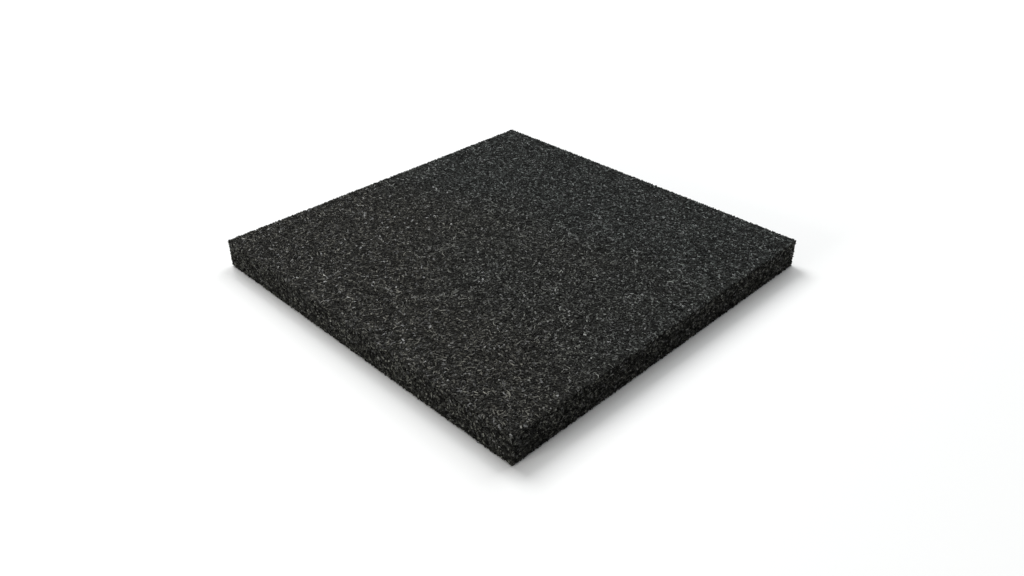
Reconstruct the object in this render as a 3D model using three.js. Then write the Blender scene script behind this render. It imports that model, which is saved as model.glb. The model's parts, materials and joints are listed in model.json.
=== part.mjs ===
// A square anti-vibration mat: one slab of shredded and granulated rubber, bound together with
// polyurethane, pressed to its thickness and cut square. It has no layers, feet or holes.
//
// Millimetres, +Z up. The origin is the middle of the underside, the mat lies flat on the XY plane,
// and its four cut edges run along X and Y.

import * as THREE from 'three';
import { RoundedBoxGeometry } from 'three/addons/geometries/RoundedBoxGeometry.js';

// Driving dimensions
const MAT_LENGTH = 400; // along X
const MAT_WIDTH = 400; // along Y
const MAT_THICKNESS = 30; // along Z
const ARRIS_RADIUS = 0.8; // the edges and corners, worn round where loose crumbs drop off

// Each rounded arris is made of this many facets in a quarter turn
const ARRIS_FACETS = 3;

// Finish
const CRUMB_BLACK = 0x323331;
const CRUMB_ROUGHNESS = 0.75;

function crumbRubber() {
  return new THREE.MeshStandardMaterial({
    name: 'crumb_rubber',
    color: CRUMB_BLACK,
    roughness: CRUMB_ROUGHNESS,
    metalness: 0,
  });
}

// The whole mat, standing on z = 0
function rubberMat() {
  const slab = new RoundedBoxGeometry(MAT_LENGTH, MAT_WIDTH, MAT_THICKNESS, ARRIS_FACETS, ARRIS_RADIUS);
  const mat = new THREE.Mesh(slab, crumbRubber());
  mat.name = 'rubber_mat';
  mat.position.z = MAT_THICKNESS / 2;
  return mat;
}

const antiVibrationMat = new THREE.Group();
antiVibrationMat.name = 'anti_vibration_mat';
antiVibrationMat.add(rubberMat());

export default antiVibrationMat;
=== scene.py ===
# %% [markdown]
# # A square anti-vibration mat of bonded rubber crumb
#
# The real mat is one slab. Old tyres are torn into slivers and ground into grains, wetted with a
# clear binder, pressed into a block and cut square. Seen close up it is a dense felt of small black
# pieces with dark pits between them. Here the slab is one mesh with a rough skin, and the pieces that
# lie in its surface are modelled as real little solids, a few shapes repeated many thousand times.

import json
import math

import bmesh
import bpy
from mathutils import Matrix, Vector

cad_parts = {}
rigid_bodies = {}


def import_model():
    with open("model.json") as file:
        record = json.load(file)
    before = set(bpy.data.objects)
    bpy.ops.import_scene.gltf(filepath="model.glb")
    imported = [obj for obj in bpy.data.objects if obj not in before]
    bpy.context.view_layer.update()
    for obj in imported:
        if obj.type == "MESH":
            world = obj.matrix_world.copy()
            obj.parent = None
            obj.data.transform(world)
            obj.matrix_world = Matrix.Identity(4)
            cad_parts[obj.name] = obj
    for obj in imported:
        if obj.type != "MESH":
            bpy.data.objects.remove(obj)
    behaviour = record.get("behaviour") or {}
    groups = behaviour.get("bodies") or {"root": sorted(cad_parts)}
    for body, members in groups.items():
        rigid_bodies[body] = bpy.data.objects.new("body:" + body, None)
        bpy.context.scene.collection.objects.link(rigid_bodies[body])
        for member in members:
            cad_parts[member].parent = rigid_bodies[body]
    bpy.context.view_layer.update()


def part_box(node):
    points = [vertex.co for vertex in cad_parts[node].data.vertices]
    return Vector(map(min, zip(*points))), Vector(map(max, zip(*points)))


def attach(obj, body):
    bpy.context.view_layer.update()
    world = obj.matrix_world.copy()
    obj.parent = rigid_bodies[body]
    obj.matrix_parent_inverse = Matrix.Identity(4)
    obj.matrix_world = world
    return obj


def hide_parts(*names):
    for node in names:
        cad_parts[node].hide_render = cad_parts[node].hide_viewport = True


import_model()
MAT_LOW, MAT_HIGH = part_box("rubber_mat")
MAT_SIZE = MAT_HIGH - MAT_LOW
MAT_MIDDLE = (MAT_LOW + MAT_HIGH) / 2
MM = 0.001
print("mat size in millimetres:", [round(side / MM, 1) for side in MAT_SIZE])

# %% [markdown]
# ## The camera
#
# The photograph looks straight at one corner of the mat from a little above. Its six outer corners
# fit a 30 mm lens on a 36 mm sensor, so the camera can be placed by three real measures: how far it
# stands from the middle of the mat, how high, and how far it is tipped down.

# %% Place the camera
CAMERA_LENS = 30.0
CAMERA_SENSOR = 36.0
CAMERA_AZIMUTH = math.radians(45)
CAMERA_AWAY = 735.0 * MM
CAMERA_HEIGHT = 451.4 * MM
CAMERA_TIPPED_DOWN = math.radians(33.06)

TOWARDS_CAMERA = Vector((math.sin(CAMERA_AZIMUTH), -math.cos(CAMERA_AZIMUTH), 0))
TO_THE_RIGHT = Vector((math.cos(CAMERA_AZIMUTH), math.sin(CAMERA_AZIMUTH), 0))

camera_data = bpy.data.cameras.new("camera")
camera_data.lens = CAMERA_LENS
camera_data.sensor_width = CAMERA_SENSOR
camera = bpy.data.objects.new("camera", camera_data)
camera.location = TOWARDS_CAMERA * CAMERA_AWAY + Vector((0, 0, CAMERA_HEIGHT))
camera.rotation_euler = (math.pi / 2 - CAMERA_TIPPED_DOWN, 0, CAMERA_AZIMUTH)
bpy.context.scene.collection.objects.link(camera)
bpy.context.scene.camera = camera
print("camera in millimetres:", [round(place / MM) for place in camera.location])

# %% [markdown]
# ## Floor and light
#
# The mat lies on a white sweep under soft studio light. Two large soft lamps stand high behind it, one
# to each side, so that a short soft shadow falls forward along both near edges and hardly any in front
# of the corner between them. A low lamp on the left only grazes the floor and mostly lights the left
# cut edge. The surroundings fill the rest: they give little light, but look white where they are seen
# past the floor, as the paper behind a small studio table does.

# %% Lay the floor
FLOOR_RADIUS = 2.4
FLOOR_SIDES = 96
FLOOR_WHITE = (0.9, 0.9, 0.9, 1)

bpy.ops.object.select_all(action="DESELECT")
bpy.ops.mesh.primitive_circle_add(vertices=FLOOR_SIDES, radius=FLOOR_RADIUS, fill_type="NGON")
floor = bpy.context.active_object
floor.name = "floor"
floor_paint = bpy.data.materials.new("floor_paint")
floor_paint.use_nodes = True
floor_shader = floor_paint.node_tree.nodes["Principled BSDF"]
floor_shader.inputs["Base Color"].default_value = FLOOR_WHITE
floor_shader.inputs["Roughness"].default_value = 1.0
floor_shader.inputs["Specular IOR Level"].default_value = 0.0
floor.data.materials.append(floor_paint)
print("floor is", 2 * FLOOR_RADIUS, "m across")


# %% Hang the lamps
def soft_lamp(name, side, ahead, height, size, power, colour):
    """A square soft lamp in metres and watts, placed as seen from the camera and aimed at the mat."""
    lamp_data = bpy.data.lights.new(name, "AREA")
    lamp_data.size = size
    lamp_data.energy = power
    lamp_data.color = colour
    lamp = bpy.data.objects.new(name, lamp_data)
    lamp.location = TO_THE_RIGHT * side - TOWARDS_CAMERA * ahead + Vector((0, 0, height))
    lamp.rotation_euler = (MAT_MIDDLE - lamp.location).to_track_quat("-Z", "Y").to_euler()
    bpy.context.scene.collection.objects.link(lamp)
    print(name, "gives", power, "W from", height, "m up")


soft_lamp(
    "back_right_lamp", side=2.1, ahead=3.1, height=5.3,
    size=4.2, power=197, colour=(0.98, 1, 1),
)
soft_lamp(
    "back_left_lamp", side=-1.85, ahead=2.6, height=4.25,
    size=2.6, power=207, colour=(0.99, 1, 1),
)
soft_lamp(
    "left_lamp", side=-1.9, ahead=-1.6, height=0.62,
    size=0.7, power=30, colour=(1, 0.985, 0.95),
)

# %% Set the surroundings
SURROUNDINGS_WHITE = (1, 1, 1, 1)
SURROUNDINGS_LIGHT = 0.2
SURROUNDINGS_SEEN = 1.0

world = bpy.data.worlds.new("surroundings")
world.use_nodes = True
world_nodes = world.node_tree.nodes
world_links = world.node_tree.links
given_light = world_nodes["Background"]
seen_white = world_nodes.new("ShaderNodeBackground")
for background, strength in ((given_light, SURROUNDINGS_LIGHT), (seen_white, SURROUNDINGS_SEEN)):
    background.inputs["Color"].default_value = SURROUNDINGS_WHITE
    background.inputs["Strength"].default_value = strength
ray_kind = world_nodes.new("ShaderNodeLightPath")
either = world_nodes.new("ShaderNodeMixShader")
world_links.new(ray_kind.outputs["Is Camera Ray"], either.inputs["Fac"])
world_links.new(given_light.outputs["Background"], either.inputs[1])
world_links.new(seen_white.outputs["Background"], either.inputs[2])
world_links.new(either.outputs["Shader"], world_nodes["World Output"].inputs["Surface"])
bpy.context.scene.world = world
bpy.context.scene.view_settings.view_transform = "Standard"
print("surroundings give", SURROUNDINGS_LIGHT, "and look", SURROUNDINGS_SEEN)

# %% [markdown]
# ## Rubber finishes
#
# Torn tyre rubber is a dull black. Each little piece differs: most are nearly black, some are greyed
# where they were torn, and a few are pale. So each crumb carries a random number called tone, and its
# colour is read from that. A finer grain of cells breaks up each crumb, less so on a sliver, which
# keeps one tone along its length and shows as a streak. About one crumb in five is still covered by a
# film of clear binder, which shines a little: a second random number, gloss, says which. Across the
# top and the underside the colour runs from warm along one edge to cool along the opposite one: this
# is painted lamp colour, the warm of the low lamp on the left and the cool of the lamps behind, painted
# into the rubber, with soft patches of the rubber's own tint over it. The cut edges are darker and more
# olive, without the patches or the painted lamp colour, and the skin below the crumbs is darkest of
# all: it shows only in the gaps between crumbs, and that extra darkness is painted shade there.
# These finishes differ only in their numbers, so one function mixes all four.

# %% Small helpers for node trees
def add_node(tree, kind, **settings):
    """Adds a node of this kind and sets its options."""
    node = tree.nodes.new(kind)
    for option, value in settings.items():
        setattr(node, option, value)
    return node


def fill(socket, value):
    """Links the socket to another, or sets it to a plain value."""
    if isinstance(value, bpy.types.NodeSocket):
        socket.node.id_data.links.new(value, socket)
    else:
        socket.default_value = value


def fill_inputs(node, **values):
    """Fills inputs by name, with _ for a space."""
    for name, value in values.items():
        fill(node.inputs[name.replace("_", " ")], value)


def number_sum(tree, operation, first, second=0.0):
    """One sum on two numbers."""
    node = add_node(tree, "ShaderNodeMath", operation=operation)
    fill(node.inputs[0], first)
    fill(node.inputs[1], second)
    return node.outputs["Value"]


def vector_sum(tree, operation, first, second):
    """One sum on two vectors."""
    node = add_node(tree, "ShaderNodeVectorMath", operation=operation)
    fill(node.inputs[0], first)
    fill(node.inputs[1], second)
    return node.outputs["Vector"]


def scaled(tree, vector, factor):
    """The vector times a number."""
    node = add_node(tree, "ShaderNodeVectorMath", operation="SCALE")
    fill_inputs(node, Vector=vector, Scale=factor)
    return node.outputs["Vector"]


def colour_ramp(tree, amount, steps):
    """A colour that runs through these places and colours."""
    ramp = add_node(tree, "ShaderNodeValToRGB")
    stops = ramp.color_ramp.elements
    while len(stops) < len(steps):
        stops.new(0.5)
    for stop, (place, colour) in zip(stops, steps):
        stop.position = place
        stop.color = colour
    fill_inputs(ramp, Fac=amount)
    return ramp.outputs["Color"]


# %% Tell tone and gloss
CELL = 0.85 * MM


def tone_and_gloss(tree, cells, own_share):
    """The two numbers of each spot. own_share is how much of the tone is the crumb's own."""
    cell_parts = add_node(tree, "ShaderNodeSeparateColor")
    fill_inputs(cell_parts, Color=cells.outputs["Color"])
    cell_tone = cell_parts.outputs["Red"]
    if not own_share:
        return cell_tone, cell_parts.outputs["Green"]
    own_tone = add_node(tree, "ShaderNodeAttribute", attribute_name="tone").outputs["Fac"]
    gloss = add_node(tree, "ShaderNodeAttribute", attribute_name="gloss").outputs["Fac"]
    own_part = number_sum(tree, "MULTIPLY", own_tone, own_share)
    cell_part = number_sum(tree, "MULTIPLY", cell_tone, 1 - own_share)
    return number_sum(tree, "ADD", own_part, cell_part), gloss


# %% Let the colour drift, with painted lamp colour
# The drift is a share of a noise, the rubber's own patches, plus the place along Y in metres, which
# paints the warm and cool of the lamps. The steps say where it turns.
DRIFT_SCALE = 7.0
DRIFT_DETAIL = 2.0
DRIFT_PATCHES = 0.4
# How fast the painted lamp colour turns along Y: warm towards the low lamp, cool towards the lamps
# behind
PAINTED_LAMP_COLOUR_ACROSS = 1.0
WARM = (1.06, 1.01, 0.96, 1)
COOL = (0.975, 1.045, 1.08, 1)
DRIFT_STEPS = [(0.1, WARM), (0.3, COOL)]


def patches_and_painted_lamp_colour(tree, coordinates):
    """Soft patches of the rubber's own tint, over painted lamp colour running warm to cool across the
    mat.
    """
    wander = add_node(tree, "ShaderNodeTexNoise")
    fill_inputs(wander, Vector=coordinates, Scale=DRIFT_SCALE, Detail=DRIFT_DETAIL)
    patches = number_sum(tree, "MULTIPLY", wander.outputs["Fac"], DRIFT_PATCHES)
    across = add_node(tree, "ShaderNodeSeparateXYZ")
    fill_inputs(across, Vector=coordinates)
    # Painted lamp colour: the place along Y turns the tint from warm to cool
    painted_warm_to_cool = number_sum(tree, "MULTIPLY", across.outputs["Y"], PAINTED_LAMP_COLOUR_ACROSS)
    return colour_ramp(tree, number_sum(tree, "ADD", patches, painted_warm_to_cool), DRIFT_STEPS)


# %% Mix a rubber finish
RUBBER_ROUGHNESS = 0.75
BINDER_ROUGHNESS = 0.3
# Each step: a place from 0 to 1, and how thickly binder covers a crumb whose gloss is that
BINDER_STEPS = [(0.0, 0.0), (0.8, 0.0), (0.86, 0.6), (1.0, 0.9)]


def rubber_finish(name, steps, tint, own_share, bump_height, shine, patch_and_lamp_colour_share):
    """Dull rubber whose tone runs through the steps, with cells that stand a little proud."""
    paint = bpy.data.materials.new(name)
    paint.use_nodes = True
    tree = paint.node_tree
    shader = tree.nodes["Principled BSDF"]
    coordinates = add_node(tree, "ShaderNodeTexCoord").outputs["Object"]
    cells = add_node(tree, "ShaderNodeTexVoronoi")
    fill_inputs(cells, Vector=coordinates, Scale=1 / CELL)
    tone, gloss = tone_and_gloss(tree, cells, own_share)
    greys = [(place, (*(grey * part for part in tint), 1)) for place, grey in steps]
    tinted = add_node(tree, "ShaderNodeMix", data_type="RGBA", blend_type="MULTIPLY")
    # Multiplies in the rubber's own patches and the painted lamp colour
    fill(tinted.inputs["Factor"], patch_and_lamp_colour_share)
    fill(tinted.inputs["A"], colour_ramp(tree, tone, greys))
    fill(tinted.inputs["B"], patches_and_painted_lamp_colour(tree, coordinates))
    bump = add_node(tree, "ShaderNodeBump", invert=True)
    fill_inputs(bump, Height=cells.outputs["Distance"], Distance=bump_height, Strength=1.0)
    film = colour_ramp(tree, gloss, [(place, (share, share, share, 1)) for place, share in BINDER_STEPS])
    fill_inputs(shader, Base_Color=tinted.outputs["Result"], Normal=bump.outputs["Normal"])
    fill_inputs(shader, Roughness=RUBBER_ROUGHNESS, Specular_IOR_Level=shine)
    fill_inputs(shader, Coat_Weight=film, Coat_Roughness=BINDER_ROUGHNESS)
    print("mixed", name)
    return paint


# %% Mix the four finishes
FACE_TINT = (1.0, 1.025, 0.95)
CUT_TINT = (1.0, 1.01, 0.88)
FACE_SHINE = 0.12
CUT_SHINE = 0.06
CRUMB_BUMP = 0.22 * MM
SKIN_BUMP = 0.40 * MM
SLIVER_OWN_SHARE = 0.88
CRUMB_OWN_SHARE = 0.68
# Each step: a tone from 0 to 1, and the share of the light that rubber of that tone sends back
FACE_STEPS = [
    (0.0, 0.003), (0.2, 0.005), (0.5, 0.017), (0.69, 0.04),
    (0.8, 0.088), (0.9, 0.175), (1.0, 0.3),
]
CUT_STEPS = [
    (0.0, 0.001), (0.2, 0.002), (0.5, 0.009), (0.69, 0.042),
    (0.8, 0.11), (0.9, 0.21), (1.0, 0.33),
]
# The skin is darker than the crumbs: painted shade, since it shows only in the gaps between crumbs
SHADED_SKIN_STEPS = [(0.0, 0.003), (0.5, 0.008), (0.8, 0.02), (0.95, 0.04), (1.0, 0.08)]

crumb_rubber = rubber_finish(
    "crumb_rubber", FACE_STEPS, FACE_TINT, own_share=CRUMB_OWN_SHARE,
    bump_height=CRUMB_BUMP, shine=FACE_SHINE, patch_and_lamp_colour_share=1.0,
)
sliver_rubber = rubber_finish(
    "sliver_rubber", FACE_STEPS, FACE_TINT, own_share=SLIVER_OWN_SHARE,
    bump_height=CRUMB_BUMP, shine=FACE_SHINE, patch_and_lamp_colour_share=1.0,
)
cut_rubber = rubber_finish(
    "cut_rubber", CUT_STEPS, CUT_TINT, own_share=CRUMB_OWN_SHARE,
    bump_height=CRUMB_BUMP, shine=CUT_SHINE, patch_and_lamp_colour_share=0.0,
)
# The skin's finish, whose extra darkness is painted shade in the gaps between crumbs
skin_with_painted_shade = rubber_finish(
    "skin_with_painted_shade", SHADED_SKIN_STEPS, CUT_TINT, own_share=0,
    bump_height=SKIN_BUMP, shine=CUT_SHINE, patch_and_lamp_colour_share=0.0,
)

# %% [markdown]
# ## The slab
#
# Everything that lies below the surface crumbs is one closed block. It starts as a cube a little
# smaller than the mat, is divided into cells of a couple of millimetres, and its skin is then pushed
# in and out by two sizes of cell pattern, which leaves pits for the crumbs to stand in. Sculpting would
# do the same by hand, but the pattern gives every part of the skin the same grain.

# %% Raise the plain block
SKIN_DEPTH = 0.7 * MM
SKIN_CELL = 2.5 * MM
# One subdivision makes at most a hundred cuts, so the long edges are cut in two rounds
FIRST_CUTS = 3
# An edge runs along an axis, or a face looks along it, when this much of its direction does
ALIGNED = 0.9


def only(piece):
    """Makes this the one selected, active object."""
    bpy.ops.object.select_all(action="DESELECT")
    piece.select_set(True)
    bpy.context.view_layer.objects.active = piece


def block(name, low, high):
    """A cube with these two corners, its object at the origin."""
    bpy.ops.object.select_all(action="DESELECT")
    bpy.ops.mesh.primitive_cube_add(size=1, location=(low + high) / 2, scale=high - low)
    piece = bpy.context.active_object
    piece.name = name
    bpy.ops.object.transform_apply(location=True, rotation=True, scale=True)
    return piece


def cut_along(piece, axis, cuts):
    """Divides every edge that runs along this axis."""
    only(piece)
    bpy.ops.object.mode_set(mode="EDIT")
    bpy.ops.mesh.select_mode(type="EDGE")
    bpy.ops.mesh.select_all(action="DESELECT")
    shape = bmesh.from_edit_mesh(piece.data)
    for edge in shape.edges:
        run = (edge.verts[1].co - edge.verts[0].co).normalized()
        edge.select = abs(run[axis]) > ALIGNED
    bmesh.update_edit_mesh(piece.data)
    bpy.ops.mesh.subdivide(number_cuts=cuts)
    bpy.ops.object.mode_set(mode="OBJECT")


def triangles_of(piece):
    """How many triangles the mesh comes to."""
    return sum(len(face.vertices) - 2 for face in piece.data.polygons)


inset = Vector((1, 1, 1)) * SKIN_DEPTH
slab = block("bonded_slab", MAT_LOW + inset, MAT_HIGH - inset)
cut_along(slab, 2, round(MAT_SIZE.z / SKIN_CELL) - 1)
for axis in (0, 1):
    cut_along(slab, axis, FIRST_CUTS)
    cut_along(slab, axis, round(MAT_SIZE[axis] / SKIN_CELL / (FIRST_CUTS + 1)) - 1)
print("slab triangles:", triangles_of(slab))

# %% Roughen its skin
# Each size: how wide the cells are, and how far their middles stand out
RELIEF_SIZES = [(5.2 * MM, 0.35 * MM), (2.9 * MM, 0.30 * MM)]
# How far from a cell's middle, as a share of its width, its rim lies
CELL_REACH = 0.75


def geometry_tree(name):
    """An empty Geometry Nodes tree with one geometry in and one out."""
    tree = bpy.data.node_groups.new(name, "GeometryNodeTree")
    tree.interface.new_socket("Geometry", in_out="INPUT", socket_type="NodeSocketGeometry")
    tree.interface.new_socket("Geometry", in_out="OUTPUT", socket_type="NodeSocketGeometry")
    return tree, add_node(tree, "NodeGroupInput").outputs[0], add_node(tree, "NodeGroupOutput").inputs[0]


def apply_tree(piece, tree):
    """Runs the tree on the piece as a modifier and applies it."""
    only(piece)
    modifier = piece.modifiers.new(tree.name, "NODES")
    modifier.node_group = tree
    bpy.ops.object.modifier_apply(modifier=modifier.name)


def cell_height(tree, cell, height):
    """How far a skin point moves out: most in the middle of its cell, and in at the cell's rim."""
    cells = add_node(tree, "ShaderNodeTexVoronoi")
    fill_inputs(cells, Scale=1 / cell)
    span = add_node(tree, "ShaderNodeMapRange")
    fill_inputs(span, Value=cells.outputs["Distance"], From_Min=0.0, From_Max=CELL_REACH)
    fill_inputs(span, To_Min=height, To_Max=-height)
    return span.outputs["Result"]


relief, block_in, block_out = geometry_tree("skin_relief")
heights = 0.0
for cell, height in RELIEF_SIZES:
    heights = number_sum(relief, "ADD", cell_height(relief, cell, height), heights)
outward = add_node(relief, "GeometryNodeInputNormal").outputs["Normal"]
moved = add_node(relief, "GeometryNodeSetPosition")
fill_inputs(moved, Geometry=block_in, Offset=scaled(relief, outward, heights))
fill(block_out, moved.outputs["Geometry"])
apply_tree(slab, relief)
# The skin takes the finish darkened as painted shade for the gaps between crumbs
slab.data.materials.append(skin_with_painted_shade)
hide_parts("rubber_mat")
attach(slab, "root")
highest = max(corner.co.z for corner in slab.data.vertices)
print("skin reaches", round(highest / MM, 2), "mm up")

# %% [markdown]
# ## Slivers
#
# Three kinds of piece lie in the surface: long torn slivers, chunky chips and fine grains. A few of
# each are shaped from a primitive and kept aside as patterns, each with only a few faces, since many
# thousand copies are sown. A sliver starts as a three-sided bar. It is cut once across the middle, the
# middle is pushed sideways, the ends are drawn thin, and every corner is then shaken a little.

# %% Shape the slivers
# Each sliver: length, width, thickness, bow to the side, all in millimetres
SLIVER_SHAPES = [
    (4.6, 0.95, 0.85, 0.5),
    (6.0, 0.85, 0.80, -0.9),
    (3.6, 1.10, 0.90, 0.3),
    (7.0, 0.90, 0.75, 1.2),
    (4.0, 0.80, 0.80, -0.4),
    (5.2, 1.20, 0.80, 0.7),
]
# A three-sided bar of this radius has sides one unit wide
BAR_RADIUS = 0.58
# Corners nearer the middle than this share of the length belong to the middle cut
MIDDLE_SHARE = 0.1
THIN_ENDS = (1, 0.5, 0.6)
SLIVER_SHAKE = 0.15 * MM


def pattern_box(name):
    """A collection that holds patterns."""
    holder = bpy.data.collections.new(name)
    bpy.context.scene.collection.children.link(holder)
    return holder


def keep_pattern(name, holder):
    """Names the active object and keeps it in the collection of patterns."""
    piece = bpy.context.active_object
    piece.name = name
    for other in piece.users_collection:
        other.objects.unlink(piece)
    holder.objects.link(piece)
    return piece


def torn_sliver(name, holder, measures, seed):
    """A three-sided bar whose middle bows sideways and whose ends run thin."""
    length, width, thickness, bow = measures
    bpy.ops.object.select_all(action="DESELECT")
    bpy.ops.mesh.primitive_cylinder_add(vertices=3, radius=BAR_RADIUS, depth=1)
    piece = keep_pattern(name, holder)
    piece.scale = Vector((thickness, width, length)) * MM
    bpy.ops.object.transform_apply(location=True, rotation=False, scale=True)
    piece.rotation_euler = (0, math.pi / 2, 0)
    bpy.ops.object.transform_apply(location=False, rotation=True, scale=False)
    cut_along(piece, 0, 1)
    bpy.ops.object.mode_set(mode="EDIT")
    bpy.ops.mesh.select_mode(type="VERT")
    bpy.ops.mesh.select_all(action="DESELECT")
    shape = bmesh.from_edit_mesh(piece.data)
    for corner in shape.verts:
        corner.select = abs(corner.co.x) < MIDDLE_SHARE * length * MM
    shape.select_flush_mode()
    bmesh.update_edit_mesh(piece.data)
    bpy.ops.transform.translate(value=(0, bow * MM, 0))
    bpy.ops.mesh.select_all(action="INVERT")
    bpy.ops.transform.resize(value=THIN_ENDS)
    bpy.ops.mesh.select_all(action="SELECT")
    bpy.ops.transform.vertex_random(offset=SLIVER_SHAKE, seed=seed)
    bpy.ops.object.mode_set(mode="OBJECT")
    return piece


def kept_shapes(kind, maker, shapes, first_seed):
    """A collection of patterns, one of each shape."""
    holder = pattern_box(kind + "s")
    for number, measures in enumerate(shapes):
        piece = maker(f"{kind}_{number + 1}", holder, measures, first_seed + number)
    print(len(shapes), kind, "patterns of", triangles_of(piece), "triangles")
    return holder


slivers = kept_shapes("sliver", torn_sliver, SLIVER_SHAPES, first_seed=1)

# %% [markdown]
# ## Chips
#
# A chip is a chunk that broke off between two tears, so it has six rough faces and no square corner.
# A cube of size one is shaken while it is still a cube, which skews all its corners alike, and only
# then drawn out to its length, width and thickness.

# %% Shape the chips
# Each chip: length, width, thickness in millimetres
CHIP_SHAPES = [
    (3.0, 1.5, 1.6),
    (2.6, 1.8, 1.5),
    (3.4, 1.3, 1.4),
    (2.2, 1.7, 1.7),
    (2.8, 1.4, 1.6),
    (3.2, 1.6, 1.5),
]
CHIP_SHAKE = 0.32


def draw_out(measures):
    """Scales what is selected about the origin, to these measures in millimetres."""
    bpy.ops.transform.resize(value=Vector(measures) * MM, center_override=(0, 0, 0))


def torn_chip(name, holder, measures, seed):
    """A small block knocked out of square."""
    bpy.ops.object.select_all(action="DESELECT")
    bpy.ops.mesh.primitive_cube_add(size=1)
    piece = keep_pattern(name, holder)
    bpy.ops.object.mode_set(mode="EDIT")
    bpy.ops.mesh.select_all(action="SELECT")
    bpy.ops.transform.vertex_random(offset=CHIP_SHAKE, seed=seed)
    draw_out(measures)
    bpy.ops.object.mode_set(mode="OBJECT")
    return piece


chips = kept_shapes("chip", torn_chip, CHIP_SHAPES, first_seed=11)

# %% [markdown]
# ## Grains
#
# Grains come from the mill and fill what the larger pieces leave open. They are small and nearly as
# thick as they are long. A four-sided pyramid whose base is poked down to a second point has eight
# faces, which is enough at this size, and shaking its corners hides how regular it was.

# %% Shape the grains
# Each grain: length, width, thickness in millimetres
GRAIN_SHAPES = [
    (1.7, 1.4, 1.6),
    (2.2, 1.3, 1.5),
    (1.5, 1.5, 1.7),
    (2.0, 1.6, 1.5),
    (1.6, 1.1, 1.4),
    (2.4, 1.1, 1.4),
]
PYRAMID_RADIUS = 0.7
PYRAMID_HEIGHT = 0.5
GRAIN_SHAKE = 0.22


def ground_grain(name, holder, measures, seed):
    """Two low pyramids base to base, with uneven corners."""
    bpy.ops.object.select_all(action="DESELECT")
    bpy.ops.mesh.primitive_cone_add(
        vertices=4, radius1=PYRAMID_RADIUS, depth=PYRAMID_HEIGHT, location=(0, 0, PYRAMID_HEIGHT / 2)
    )
    piece = keep_pattern(name, holder)
    bpy.ops.object.transform_apply(location=True, rotation=False, scale=False)
    bpy.ops.object.mode_set(mode="EDIT")
    bpy.ops.mesh.select_mode(type="FACE")
    bpy.ops.mesh.select_all(action="DESELECT")
    shape = bmesh.from_edit_mesh(piece.data)
    for face in shape.faces:
        face.select = face.normal.z < -ALIGNED
    bmesh.update_edit_mesh(piece.data)
    bpy.ops.mesh.poke(offset=PYRAMID_HEIGHT)
    bpy.ops.mesh.select_mode(type="VERT")
    bpy.ops.mesh.select_all(action="SELECT")
    bpy.ops.transform.vertex_random(offset=GRAIN_SHAKE, seed=seed)
    draw_out(measures)
    bpy.ops.mesh.normals_make_consistent(inside=False)
    bpy.ops.object.mode_set(mode="OBJECT")
    return piece


grains = kept_shapes("grain", ground_grain, GRAIN_SHAPES, first_seed=21)

# %% Mix all three kinds for the edges and the underside
mixed = pattern_box("mixed")
for holder in (slivers, chips, grains):
    for pattern in holder.objects:
        mixed.objects.link(pattern)

# %% [markdown]
# ## Sowing the crumbs
#
# The crumbs are sown on the faces of a box just inside the mat. Points are scattered no closer than a
# set spacing, a random pattern lands on each, is spun and tipped a little and set to its depth below
# the face, and whatever would still stand out of the mat is pressed back to its flat faces, as the
# press does. Each crumb also gets a square of its own in the map that colours are baked through.
# Placing them by hand would take days, and a particle system couldn't press them flush.

# %% Helpers for the sowing
# For each kind of random value, where its node keeps its lowest value and its result
RANDOM_SOCKETS = {"FLOAT_VECTOR": (0, 0), "FLOAT": (2, 1), "INT": (4, 2)}


def side_of_box(face):
    """Which side of a box the face is."""
    if face.normal.z > ALIGNED:
        return "top"
    if face.normal.z < -ALIGNED:
        return "underside"
    return "sides"


def carrier(name, faces, margin):
    """The chosen faces of a box that lies this margin inside the mat: top, sides or underside."""
    inset = Vector((1, 1, 1)) * margin
    piece = block(name, MAT_LOW + inset, MAT_HIGH - inset)
    bpy.ops.object.mode_set(mode="EDIT")
    bpy.ops.mesh.select_mode(type="FACE")
    bpy.ops.mesh.select_all(action="DESELECT")
    shape = bmesh.from_edit_mesh(piece.data)
    for face in shape.faces:
        face.select = side_of_box(face) != faces
    bmesh.update_edit_mesh(piece.data)
    bpy.ops.mesh.delete(type="FACE")
    bpy.ops.object.mode_set(mode="OBJECT")
    return piece


def random_number(tree, low, high, seed, kind="FLOAT"):
    """A random number, whole number or vector for each crumb."""
    source = add_node(tree, "FunctionNodeRandomValue", data_type=kind)
    lowest, result = RANDOM_SOCKETS[kind]
    fill(source.inputs[lowest], low)
    fill(source.inputs[lowest + 1], high)
    fill_inputs(source, Seed=seed)
    return source.outputs[result]


def stored(tree, geometry, name, kind, domain, value):
    """The geometry with this attribute written on it."""
    node = add_node(tree, "GeometryNodeStoreNamedAttribute", data_type=kind, domain=domain)
    fill_inputs(node, Geometry=geometry, Name=name, Value=value)
    return node.outputs["Geometry"]


def read(tree, name, kind):
    """An attribute's value."""
    node = add_node(tree, "GeometryNodeInputNamedAttribute", data_type=kind)
    fill_inputs(node, Name=name)
    return node.outputs["Attribute"]


# %% Scatter, spin and sink
# Points tried on each square of the spacing, before those too near another are dropped
TRIES_PER_SPACING = 4.0


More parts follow.
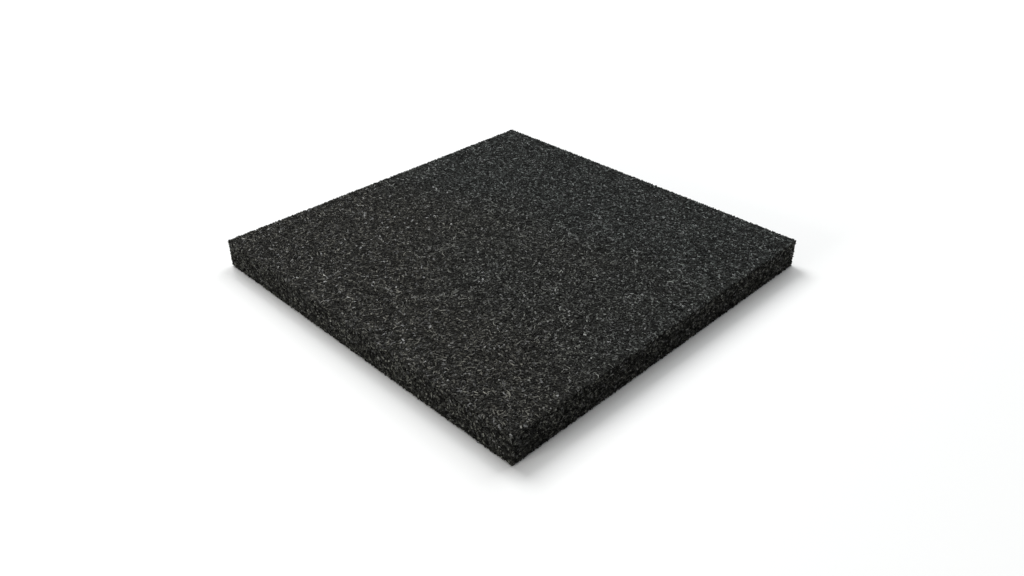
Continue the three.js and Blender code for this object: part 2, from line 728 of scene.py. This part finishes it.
def scattered(tree, faces, patterns, spacing, size, seed):
    """A random pattern, evenly random in size, on each of many points of the faces."""
    points = add_node(tree, "GeometryNodeDistributePointsOnFaces", distribute_method="POISSON")
    density = TRIES_PER_SPACING / spacing**2
    fill_inputs(points, Mesh=faces, Distance_Min=spacing, Density_Max=density, Seed=seed)
    shapes = add_node(tree, "GeometryNodeCollectionInfo")
    fill_inputs(shapes, Collection=patterns, Separate_Children=True, Reset_Children=True)
    placed = add_node(tree, "GeometryNodeInstanceOnPoints")
    fill_inputs(placed, Points=points.outputs["Points"], Instance=shapes.outputs["Instances"])
    which = random_number(tree, 0, len(patterns.objects) - 1, seed + 1, "INT")
    fill_inputs(placed, Pick_Instance=True, Instance_Index=which, Rotation=points.outputs["Rotation"])
    smallest, largest = size
    grown = random_number(tree, (smallest,) * 3, (largest,) * 3, seed + 2, "FLOAT_VECTOR")
    fill_inputs(placed, Scale=grown)
    return placed.outputs["Instances"]


def settled(tree, crumbs, faces, margin, depth, tip, seed):
    """The crumbs spun, tipped and set between two depths below the mat's face."""
    turned = add_node(tree, "GeometryNodeRotateInstances")
    turn = random_number(tree, (-tip, -tip, 0), (tip, tip, 2 * math.pi), seed + 3, "FLOAT_VECTOR")
    fill_inputs(turned, Instances=crumbs, Rotation=turn, Local_Space=True)
    way_out = add_node(tree, "GeometryNodeSampleNearestSurface", data_type="FLOAT_VECTOR")
    face_normal = add_node(tree, "GeometryNodeInputNormal").outputs["Normal"]
    fill_inputs(way_out, Mesh=faces, Value=face_normal)
    shallow, deep = depth
    shift = random_number(tree, margin - deep, margin - shallow, seed + 4)
    offset = scaled(tree, way_out.outputs["Value"], shift)
    sunk = add_node(tree, "GeometryNodeSetPosition")
    fill_inputs(sunk, Geometry=turned.outputs["Instances"], Offset=offset)
    return sunk.outputs["Geometry"]


# %% Press flush and lay out the map
# How much of its square a crumb's map fills, so that no colour bleeds into the next square
SQUARE_SHARE = 0.86
# How far inside the mat's faces a pressed crumb may stop
PRESS_SPREAD = 0.3 * MM


def pressed_flush(tree, geometry, ceiling):
    """No crumb stands out of the mat, nor above the ceiling.

    Each stops a hair short of them, by its own random number called press, so no two tops lie level.
    """
    gap = number_sum(tree, "MULTIPLY", read(tree, "press", "FLOAT"), PRESS_SPREAD)
    short = scaled(tree, (1, 1, 1), gap)
    most = vector_sum(tree, "SUBTRACT", (MAT_HIGH.x, MAT_HIGH.y, ceiling), short)
    least = vector_sum(tree, "ADD", MAT_LOW, short)
    position = add_node(tree, "GeometryNodeInputPosition").outputs["Position"]
    below = vector_sum(tree, "MINIMUM", position, most)
    moved = add_node(tree, "GeometryNodeSetPosition")
    fill_inputs(moved, Geometry=geometry, Position=vector_sum(tree, "MAXIMUM", below, least))
    return moved.outputs["Geometry"]


def mapped(tree, crumbs, geometry):
    """Each crumb's own map shrunk into one square of a square grid."""
    count = add_node(tree, "GeometryNodeAttributeDomainSize", component="INSTANCES")
    fill_inputs(count, Geometry=crumbs)
    across = number_sum(tree, "CEIL", number_sum(tree, "SQRT", count.outputs["Instance Count"]))
    order = read(tree, "order", "FLOAT")
    column = number_sum(tree, "MODULO", order, across)
    row = number_sum(tree, "FLOOR", number_sum(tree, "DIVIDE", order, across))
    square = add_node(tree, "ShaderNodeCombineXYZ")
    fill_inputs(square, X=column, Y=row)
    rim = (1 - SQUARE_SHARE) / 2
    own = scaled(tree, read(tree, "UVMap", "FLOAT_VECTOR"), SQUARE_SHARE)
    own = vector_sum(tree, "ADD", own, (rim, rim, 0))
    own = vector_sum(tree, "ADD", own, square.outputs["Vector"])
    laid = scaled(tree, own, number_sum(tree, "DIVIDE", 1.0, across))
    geometry = stored(tree, geometry, "OFBake", "FLOAT2", "CORNER", laid)
    for spare in ("UVMap", "order", "press"):
        removed = add_node(tree, "GeometryNodeRemoveAttribute")
        fill_inputs(removed, Geometry=geometry, Name=spare)
        geometry = removed.outputs["Geometry"]
    return geometry


# %% Sow one kind on one side
def sow(
    name, faces, patterns, finish, seed,
    spacing, margin, depth, tip, size, tones, ceiling=MAT_HIGH.z,
):
    """Scatters the patterns over the faces and joins them into one mesh. A tone of 0 is the darkest."""
    piece = carrier(name, faces, margin)
    tree, box_in, box_out = geometry_tree("sow_" + name)
    crumbs = scattered(tree, box_in, patterns, spacing, size, seed)
    crumbs = settled(tree, crumbs, box_in, margin, depth, tip, seed)
    crumbs = stored(tree, crumbs, "tone", "FLOAT", "INSTANCE", random_number(tree, *tones, seed + 5))
    crumbs = stored(tree, crumbs, "gloss", "FLOAT", "INSTANCE", random_number(tree, 0.0, 1.0, seed + 7))
    crumbs = stored(tree, crumbs, "press", "FLOAT", "INSTANCE", random_number(tree, 0.0, 1.0, seed + 6))
    order = add_node(tree, "GeometryNodeInputIndex").outputs["Index"]
    crumbs = stored(tree, crumbs, "order", "FLOAT", "INSTANCE", order)
    joined = add_node(tree, "GeometryNodeRealizeInstances")
    fill_inputs(joined, Geometry=crumbs)
    geometry = pressed_flush(tree, joined.outputs["Geometry"], ceiling)
    fill(box_out, mapped(tree, crumbs, geometry))
    apply_tree(piece, tree)
    piece.data.materials.clear()
    piece.data.materials.append(finish)
    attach(piece, "root")
    print(name, "triangles:", triangles_of(piece))


# %% [markdown]
# ## The top
#
# Slivers, chips and grains are sown on the top one kind after another. The kinds lie through each
# other, and the many small grains show wherever the larger pieces leave a gap. Slivers lie nearly flat,
# as the press leaves them, and grains are tipped the most. The smaller the crumbs, the nearer to the
# rim they are sown, because less of each has to be pressed back there.

# %% Sow slivers, chips and grains on the top
LITTLE = math.radians(9)
SOME = math.radians(28)
MUCH = math.radians(60)
SLIVER_DEPTH = (0.35 * MM, 0.9 * MM)
CHIP_DEPTH = (0.7 * MM, 1.2 * MM)
GRAIN_DEPTH = (0.5 * MM, 1.1 * MM)

sow(
    "top_slivers", "top", slivers, sliver_rubber, seed=100,
    spacing=2.55 * MM, margin=2.2 * MM, depth=SLIVER_DEPTH,
    tip=LITTLE, size=(0.7, 1.2), tones=(0.1, 1.0),
)
sow(
    "top_chips", "top", chips, crumb_rubber, seed=200,
    spacing=2.4 * MM, margin=0.8 * MM, depth=CHIP_DEPTH,
    tip=SOME, size=(0.7, 1.1), tones=(0.0, 0.9),
)
sow(
    "top_grains", "top", grains, crumb_rubber, seed=300,
    spacing=1.87 * MM, margin=0.5 * MM, depth=GRAIN_DEPTH,
    tip=MUCH, size=(0.7, 1.2), tones=(0.0, 0.95),
)

# %% [markdown]
# ## The cut edges and the underside
#
# A saw cuts through whatever lies in its way, so the edges show all three kinds side by side, packed
# closely and a little smaller. They stop just below the top, whose own crumbs make the rim. The
# underside is the same stock, but nobody looks at it closely, so larger crumbs are sown further apart.

# %% Sow the mixed crumbs on the edges and the underside
RIM = 0.8 * MM

sow(
    "edge_crumbs", "sides", mixed, cut_rubber, seed=400,
    spacing=1.22 * MM, margin=0.9 * MM, depth=GRAIN_DEPTH,
    tip=SOME, size=(0.6, 1.0), tones=(0.0, 0.93), ceiling=MAT_HIGH.z - RIM,
)
sow(
    "underside_crumbs", "underside", mixed, crumb_rubber, seed=500,
    spacing=2.9 * MM, margin=1.2 * MM, depth=GRAIN_DEPTH,
    tip=SOME, size=(0.9, 1.4), tones=(0.0, 0.93),
)

# %% [markdown]
# ## Clearing up
#
# The patterns have done their work and would otherwise be seen at the origin, so they go.

# %% Put the patterns away
for pattern in list(mixed.objects):
    bpy.data.objects.remove(pattern)
for holder in (slivers, chips, grains, mixed):
    bpy.data.collections.remove(holder)
